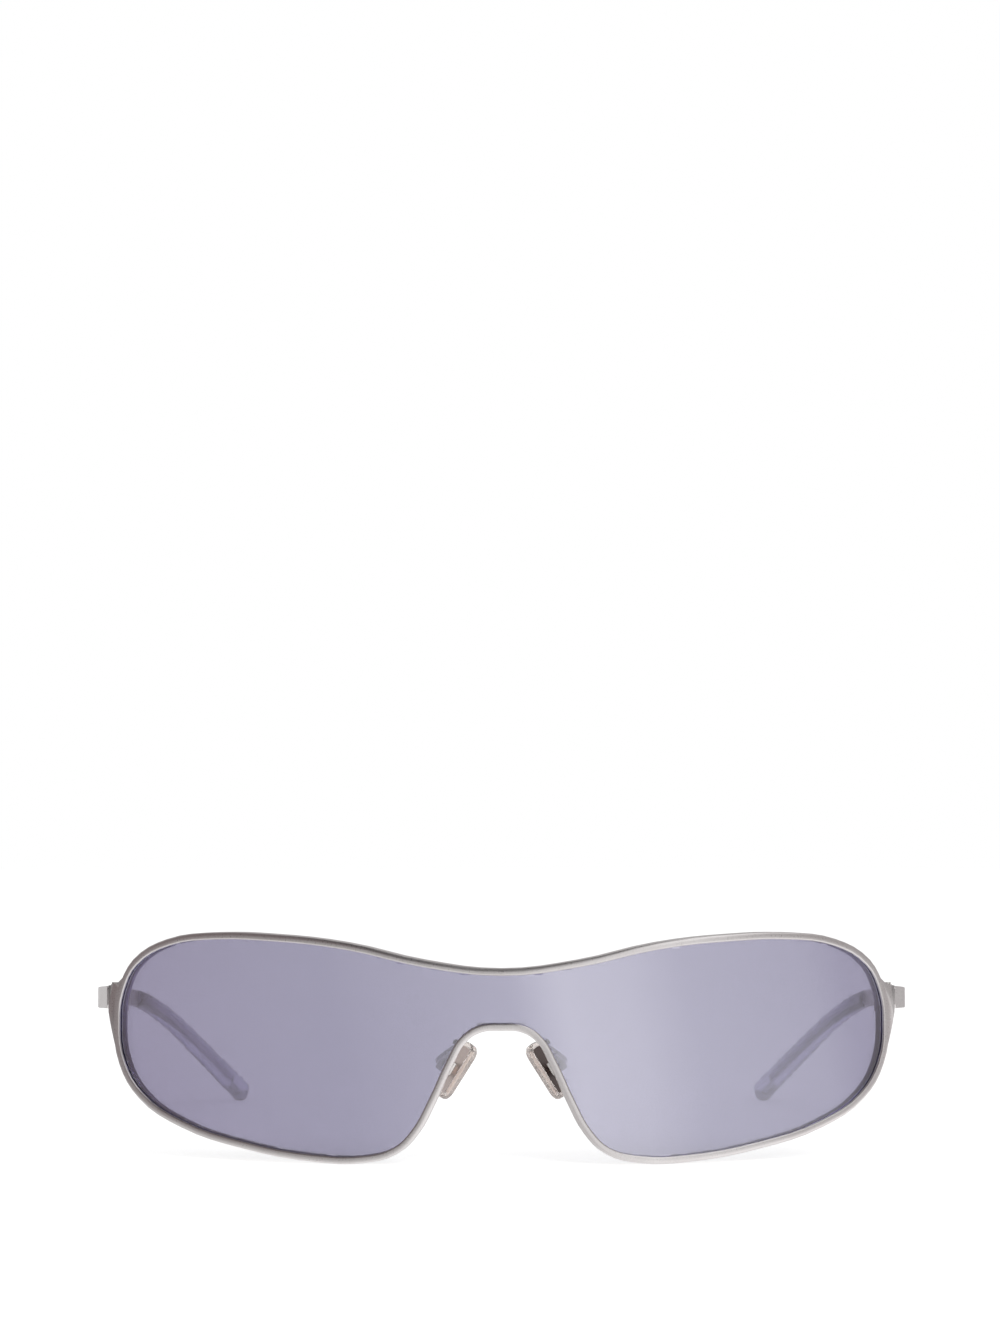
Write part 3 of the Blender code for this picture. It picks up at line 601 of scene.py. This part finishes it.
def moved_out(reach, fade):
    """Where a point of the rim's front goes, by how far out it was from the lens opening."""
    crown, width = RIM_FRONT_ROUNDING, RIM_FACE_WIDTH
    slope = width - crown + (RIM_SLOPE_START - width + crown) * fade
    places = ((0, 0), (crown, crown * INNER_EDGE_SHARE), (width - crown, slope), (width, width))
    for (first, low), (last, high) in zip(places, places[1:]):
        if reach <= last:
            return low + (high - low) * (reach - first) / (last - first)
    return reach


def make_rim(material, wall_shade):
    """The rim with a crisp inner edge, and a front that falls away towards its outer edge.

    The wall that holds the lens takes a darker second material, a painted shade.
    """
    form = bmesh.new()
    form.from_mesh(frame["nodes"]["front_rim"].data)
    bmesh.ops.remove_doubles(form, verts=form.verts, dist=WELD_DISTANCE)
    for vertex in form.verts:
        vertex.co = unrolled(vertex.co)
    at_lip = place_tree([
        vertex.co for vertex in form.verts if abs(vertex.co.y - RIM_FRONT_LIP) < SAME_PLACE
    ])
    opening = place_tree([
        vertex.co for vertex in form.verts
        if abs(vertex.co.y - RIM_FRONT_ROUNDING) < SAME_PLACE
        and at_lip.find((vertex.co.x, 0, vertex.co.z))[2] < SAME_PLACE
    ])
    for vertex in form.verts:
        if vertex.co.y > RIM_FRONT_ROUNDING + SAME_PLACE:
            continue
        place = Vector((vertex.co.x, 0, vertex.co.z))
        base = opening.find(place)[0]
        reach = (place - base).length
        if reach > RIM_FACE_WIDTH + SAME_PLACE:
            share = min((reach - RIM_FACE_WIDTH) / END_EDGE_RUN, 1)
            vertex.co.y *= 1 + (END_EDGE_SHARE - 1) * share
            continue
        fade = min(max((RIM_FADE_END - abs(place.x)) / RIM_FADE_LENGTH, 0), 1)
        depth = vertex.co.y
        if reach < RIM_FRONT_ROUNDING + SAME_PLACE:
            depth *= INNER_EDGE_SHARE
        if reach > SAME_PLACE:
            place = base + (place - base) * moved_out(reach, fade) / reach
        vertex.co = Vector((place.x, depth, place.z))
    # Faces of the wall behind the lens get the darker second material: painted shade
    for face in form.faces:
        depth = face.calc_center_median().y
        reach = max(opening.find((vertex.co.x, 0, vertex.co.z))[2] for vertex in face.verts)
        if RIM_FRONT_LIP < depth < RIM_SHADED_DEPTH and reach < RIM_SHADED_REACH:
            face.material_index = 1
    for vertex in form.verts:
        vertex.co = rolled(with_full_corners(vertex.co))
    join_pairs(form)
    piece = add_piece("front_rim_fine", form, material, "front_rim")
    piece.data.materials.append(wall_shade)
    return piece


def make_lens(material):
    """The shield lens on a fine grid, so that its mirror coat is smoothly curved."""
    form = welded("shield_lens")
    for vertex in form.verts:
        vertex.co = unrolled(vertex.co)
    join_flat_faces(form)
    edges = [edge for edge in form.edges if edge.calc_face_angle(0) > LENS_EDGE_ANGLE]
    bmesh.ops.bevel(
        form, geom=edges, offset=LENS_EDGE_BEVEL, segments=LENS_BEVEL_STEPS, profile=0.5,
        affect="EDGES"
    )
    for axis in (0, 2):
        normal = Vector((0, 0, 0))
        normal[axis] = 1
        places = [vertex.co[axis] for vertex in form.verts]
        first = math.ceil(min(places) / LENS_STATION)
        last = math.floor(max(places) / LENS_STATION)
        for index in range(first, last + 1):
            bmesh.ops.bisect_plane(
                form, geom=[*form.verts, *form.edges, *form.faces], dist=LENS_CUT_DISTANCE,
                plane_co=normal * index * LENS_STATION, plane_no=normal
            )
    for vertex in form.verts:
        vertex.co = rolled(with_full_corners(vertex.co))
    return add_piece("shield_lens_fine", form, material, "shield_lens")


def make_camera():
    """The camera, low in front of the glasses and tilted up a little, as in the photograph."""
    data = bpy.data.cameras.new("camera")
    data.sensor_fit = "VERTICAL"
    data.sensor_height = SENSOR_HEIGHT
    data.lens = FOCAL_PIXELS / PHOTO_HEIGHT * SENSOR_HEIGHT
    camera = new_object("camera", data)
    camera.location = (0, FRONT_Y - CAMERA_DISTANCE, CAMERA_HEIGHT)
    camera.rotation_euler = (math.radians(90) + CAMERA_PITCH, 0, CAMERA_YAW)
    bpy.context.scene.camera = camera


def direct_rays(owner):
    """The kinds of ray, and a value of 1 for those that look, pass through or are mirrored."""
    path = add_node(owner, "ShaderNodeLightPath").outputs
    direct = calculate(owner, "MAXIMUM", path["Is Camera Ray"], path["Is Transmission Ray"])
    return path, calculate(owner, "MAXIMUM", direct, path["Is Glossy Ray"])


def make_world():
    """Even light from all round, and the studio that metal and glass mirror.

    In the mirrored studio the level runs round the object, with a bright panel just right of
    the camera. Above, it is dim on the left, nearly black in the middle, bright just right of
    that, and grey beyond and behind. Low down it is paler on the right, and the table is white.
    """
    world = bpy.data.worlds.new("studio")
    world.use_nodes = True
    bpy.context.scene.world = world
    direction = add_node(world, "ShaderNodeTexCoord").outputs["Generated"]
    across, back, up = add_node(world, "ShaderNodeSeparateXYZ", Vector=direction).outputs
    azimuth = calculate(world, "ARCTAN2", across, calculate(world, "MULTIPLY", back, -1.0))
    lean = between(world, up, *LEAN_BAND, -PANEL_LEAN, PANEL_LEAN)
    turn = calculate(
        world, "MULTIPLY_ADD", calculate(world, "ADD", azimuth, lean), 1 / math.tau, 0.5
    )
    level = ramp(world, turn, [(degrees / 360 + 0.5, color) for degrees, color in AROUND])
    above = ramp(world, between(world, across, -1.0, 1.0), ABOVE)
    above = blend(world, between(world, back, *BEHIND_BAND), above, BEHIND_ABOVE)
    seen = blend(world, between(world, up, *ABOVE_BAND), level, above)
    near = blend(
        world, between(world, across, *NEAR_FLOOR_SIDES), NEAR_FLOOR_LEFT, NEAR_FLOOR_RIGHT
    )
    seen = blend(world, between(world, up, *NEAR_FLOOR_BAND), seen, near)
    seen = blend(world, between(world, up, *TABLE_BAND), seen, WHITE)
    path, direct = direct_rays(world)
    background = world.node_tree.nodes["Background"]
    feed(world, blend(world, path["Is Glossy Ray"], WHITE, seen), background.inputs["Color"])
    feed(world, between(world, direct, 0, 1, AMBIENT, 1.0), background.inputs["Strength"])


def make_lamp():
    """A large soft lamp above and to the right of the camera. Mirrors see the studio instead."""
    data = bpy.data.lights.new("key", "AREA")
    data.shape = "DISK"
    data.size = LAMP_SIZE
    data.energy = LAMP_POWER
    lamp = new_object("key", data)
    lamp.location = LAMP_PLACE
    lamp.rotation_euler = Vector(LAMP_PLACE).to_track_quat("Z", "Y").to_euler()
    lamp.visible_glossy = False


def make_floor():
    """The white table, which keeps the object's soft shadow."""
    form = bmesh.new()
    bmesh.ops.create_grid(form, x_segments=1, y_segments=1, size=FLOOR_REACH)
    mesh = new_mesh("floor", form)
    floor = new_object("floor", mesh)
    floor.location.z = CAD_BOX[0][2]
    floor.visible_glossy = False
    material, shader = new_material("table", "floor")
    grain = noise(material, position(material), scale=40.0)
    color = tones(material, grain, dark=(0.60, 0.60, 0.60), light=(0.62, 0.62, 0.62))
    feed(material, color, shader.inputs["Base Color"])
    glow = calculate(material, "MULTIPLY", direct_rays(material)[1], FLOOR_GLOW)
    feed(material, WHITE + (1,), shader.inputs["Emission Color"])
    feed(material, glow, shader.inputs["Emission Strength"])
    shader.inputs["Specular IOR Level"].default_value = 0.0
    mesh.materials.append(material)


def dress():
    """Every piece of the glasses, in its material."""
    satin_look = {
        "dark": (0.70, 0.665, 0.66), "light": (0.80, 0.775, 0.77), "roughness": (0.26, 0.36)
    }
    satin = metal(
        "satin_metal", "satin_steel", **satin_look, grain_scale=5200.0, depth=0.000004
    )
    brushed = metal(
        "brushed_strip", "satin_steel", **satin_look, grain_scale=7000.0, depth=0.000002,
        grain=(1, 0.03, 1)
    )
    polished = metal(
        "polished_metal", "polished_steel", dark=(0.66, 0.64, 0.62), light=(0.76, 0.74, 0.72),
        roughness=(0.12, 0.22), grain_scale=2600.0, depth=0.000002
    )
    # Darker violet metal for the rim wall behind the lens: painted shade
    wall_shade = metal(
        "painted_shade_wall", "satin_steel", dark=(0.42, 0.39, 0.56), light=(0.54, 0.51, 0.70),
        roughness=(0.3, 0.42), grain_scale=3600.0, depth=0.000003, metallic=0.9
    )
    solder = metal(
        "solder", "polished_steel", dark=(0.05, 0.05, 0.055), light=(0.12, 0.115, 0.12),
        roughness=(0.3, 0.5), grain_scale=4200.0, depth=0.000004
    )
    lens = lens_material()
    tip_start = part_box("temple_tip_left")[0][1]
    # The tips are darkened over their first stretch: painted shade
    tips = clear_material(
        "clear_tip", "clear_plastic", dark=(0.56, 0.54, 0.71), light=(0.63, 0.61, 0.77),
        roughness=(0.02, 0.06), transmission=1.0, ior=1.45,
        painted_shade=((0.15, 0.13, 0.21), tip_start, tip_start + TIP_PAINTED_SHADE_LENGTH)
    )
    pads = clear_material(
        "soft_pad", "pad_plastic", dark=(0.92, 0.84, 0.80), light=(0.96, 0.90, 0.86),
        roughness=(0.12, 0.22), transmission=0.8, ior=1.43
    )
    insert_look = {"roughness": (0.3, 0.42), "grain_scale": 3000.0, "depth": 0.000003}
    # The two inserts are one part coloured as lit and shaded copies: the left is pale and more
    # metallic, a painted highlight, and the right is dark, a painted shade
    lit_and_shaded_inserts = {
        "left": metal(
            "insert_metal_left_painted_light", "insert_metal", dark=(0.93, 0.79, 0.73),
            light=(0.98, 0.87, 0.82), **insert_look, metallic=0.6
        ),
        "right": metal(
            "insert_metal_right_painted_shade", "insert_metal", dark=(0.12, 0.08, 0.07),
            light=(0.17, 0.115, 0.10), **insert_look, metallic=0.1
        ),
    }
    make_lens(lens)
    make_rim(satin, wall_shade)
    for side in ("left", "right"):
        smooth_copy(f"temple_strip_{side}", brushed)
        make_tip(side, tips)
        make_bead(side, solder)
        smooth_copy(f"nose_pad_{side}", pads)
        smooth_copy(f"pad_insert_{side}", lit_and_shaded_inserts[side])
        for name in (
            "hinge_leaf", "hinge_screw", "temple_knuckle", "pad_arm", "pad_box", "pad_screw"
        ):
            smooth_copy(f"{name}_{side}", polished)


scene = bpy.context.scene
scene.view_settings.view_transform = "Standard"
make_camera()
make_world()
make_lamp()
make_floor()
dress()
